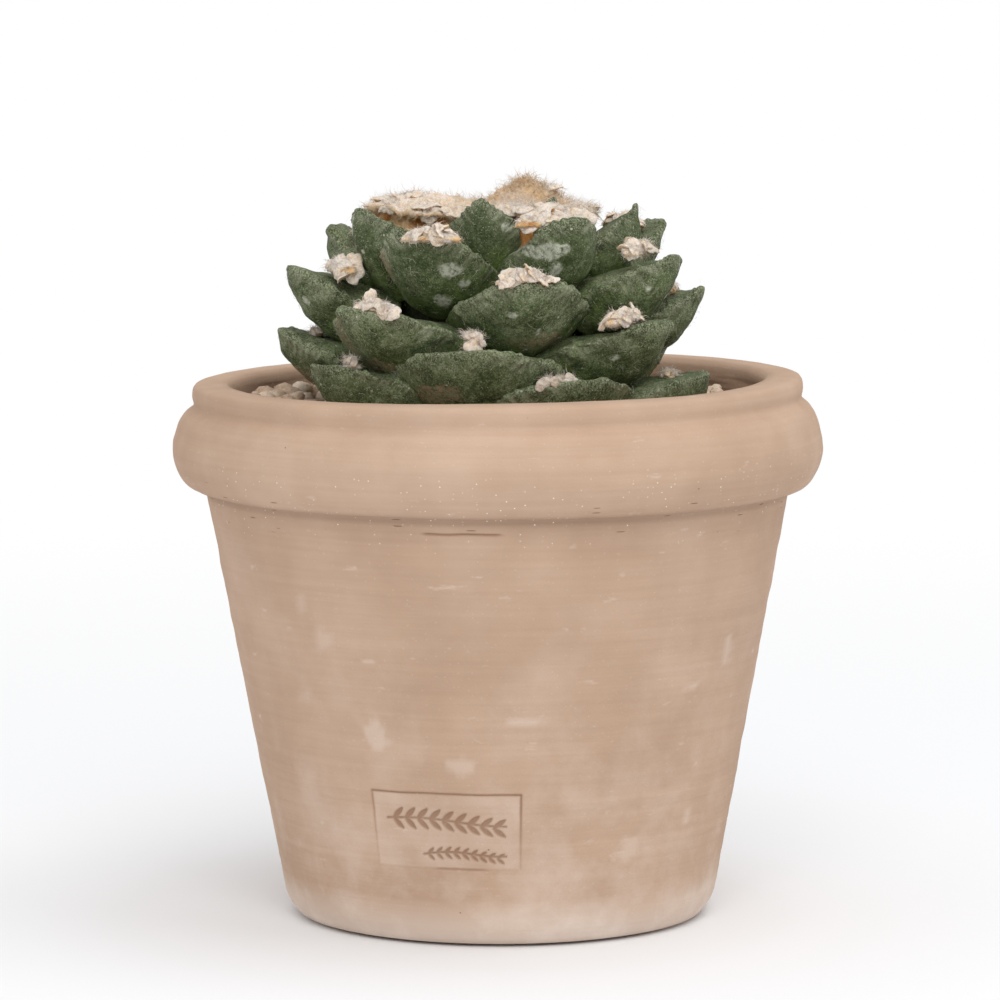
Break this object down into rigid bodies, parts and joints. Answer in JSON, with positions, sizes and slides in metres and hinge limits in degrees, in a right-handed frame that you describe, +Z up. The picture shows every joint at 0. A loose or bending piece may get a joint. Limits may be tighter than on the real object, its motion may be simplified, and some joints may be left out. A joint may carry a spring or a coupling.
{
  "type": "potted round cactus",
  "caption": "Low round cactus with thick triangular tubercles and a woolly crown, standing in gravel in a tapered clay flowerpot with a rolled rim.",
  "frame": {"origin": "middle of the pot's flat foot, on the surface that it stands on", "axes": "+Z up along the pot's axis; -Y towards the front, the side with the stamped rectangle; +X to the right seen from the front"},
  "size_m": [0.1796, 0.1796, 0.2048],
  "materials": {
    "terracotta": "matte",
    "soil": "matte",
    "gravel": "matte",
    "stem_skin": "matte",
    "tubercle_skin": "matte",
    "wool": "matte"
  },
  "bodies": {
    "root": {"pot": "terracotta", "soil": "soil", "gravel": "gravel", "stem_and_root": "stem_skin", "tubercle_01": "tubercle_skin", "tubercle_02": "tubercle_skin", "tubercle_03": "tubercle_skin", "tubercle_04": "tubercle_skin", "tubercle_05": "tubercle_skin", "tubercle_06": "tubercle_skin", "tubercle_07": "tubercle_skin", "tubercle_08": "tubercle_skin", "tubercle_09": "tubercle_skin", "tubercle_10": "tubercle_skin", "tubercle_11": "tubercle_skin", "tubercle_12": "tubercle_skin", "tubercle_13": "tubercle_skin", "tubercle_14": "tubercle_skin", "tubercle_15": "tubercle_skin", "tubercle_16": "tubercle_skin", "tubercle_17": "tubercle_skin", "tubercle_18": "tubercle_skin", "tubercle_19": "tubercle_skin", "tubercle_20": "tubercle_skin", "tubercle_21": "tubercle_skin", "tubercle_22": "tubercle_skin", "tubercle_23": "tubercle_skin", "tubercle_24": "tubercle_skin", "tubercle_25": "tubercle_skin", "tubercle_26": "tubercle_skin", "tubercle_27": "tubercle_skin", "tubercle_28": "tubercle_skin", "tubercle_29": "tubercle_skin", "tubercle_30": "tubercle_skin", "tubercle_31": "tubercle_skin", "crown_wool": "wool", "axil_wool_09": "wool", "axil_wool_10": "wool", "axil_wool_11": "wool", "axil_wool_12": "wool", "axil_wool_13": "wool", "axil_wool_14": "wool", "axil_wool_15": "wool", "axil_wool_16": "wool", "axil_wool_17": "wool", "axil_wool_18": "wool", "axil_wool_19": "wool", "axil_wool_20": "wool", "axil_wool_21": "wool", "axil_wool_22": "wool", "axil_wool_23": "wool", "axil_wool_24": "wool", "axil_wool_25": "wool", "axil_wool_26": "wool", "axil_wool_27": "wool", "axil_wool_28": "wool", "axil_wool_29": "wool"}
  },
  "joints": []
}
